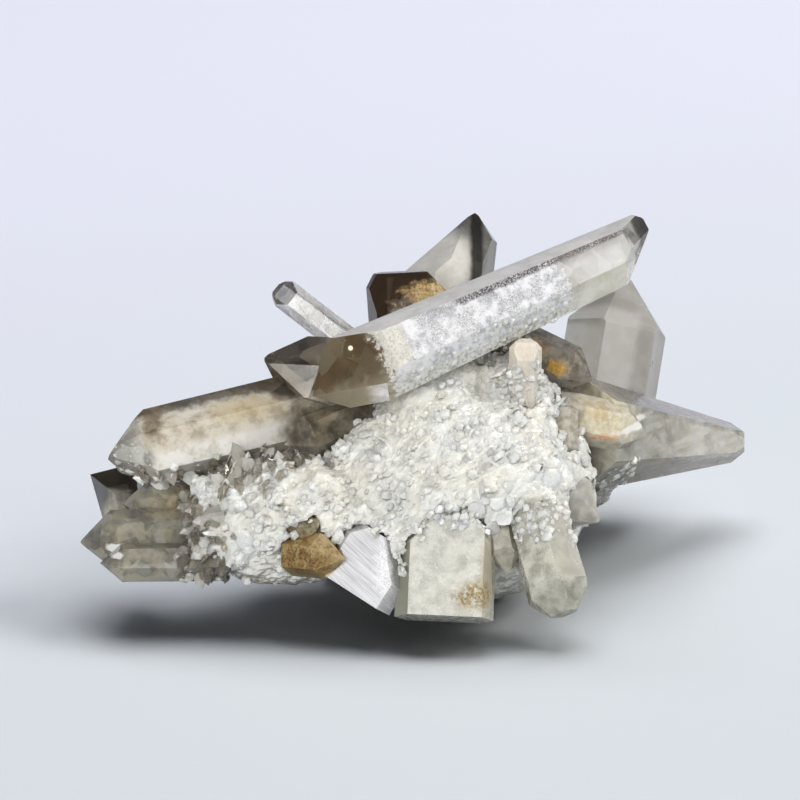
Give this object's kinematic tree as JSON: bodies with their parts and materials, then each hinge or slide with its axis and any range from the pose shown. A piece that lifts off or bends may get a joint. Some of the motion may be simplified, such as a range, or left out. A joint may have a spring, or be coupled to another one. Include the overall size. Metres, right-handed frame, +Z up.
{
  "type": "smoky quartz cluster",
  "caption": "Cluster of smoky quartz crystals, one pointed at both ends, growing out of a pale granular quartz matrix that rests on a small flat spot.",
  "frame": {"origin": "middle of the bounding box in X and Y, on the flat spot that the cluster stands on", "axes": "+Z up, +X to the right of the pictured side, -Y towards its viewer"},
  "size_m": [0.0836, 0.0604, 0.0466],
  "materials": {
    "crust": "granular, sugary, pale",
    "smoky_quartz": "glassy crystal faces, smoky, partly cloudy inside",
    "dark_quartz": "glassy crystal faces, dark brown",
    "amber_quartz": "satin, stained yellow-brown, one face striated",
    "milky_quartz": "satin, milky"
  },
  "bodies": {
    "root": {"matrix": "crust", "long_crystal": "smoky_quartz", "dark_crystal": "dark_quartz", "back_crystal": "smoky_quartz", "slender_crystal": "smoky_quartz", "left_crystals": "smoky_quartz", "lower_left_crystals": "smoky_quartz", "amber_crystals": "amber_quartz", "block_crystals": "milky_quartz", "blunt_crystal": "milky_quartz", "right_crystals": "smoky_quartz", "pale_back_crystal": "smoky_quartz", "stained_crystal": "smoky_quartz", "beige_crystal": "milky_quartz", "side_crystal": "smoky_quartz", "rear_left_crystal": "smoky_quartz", "rear_crystal": "smoky_quartz"}
  },
  "joints": []
}
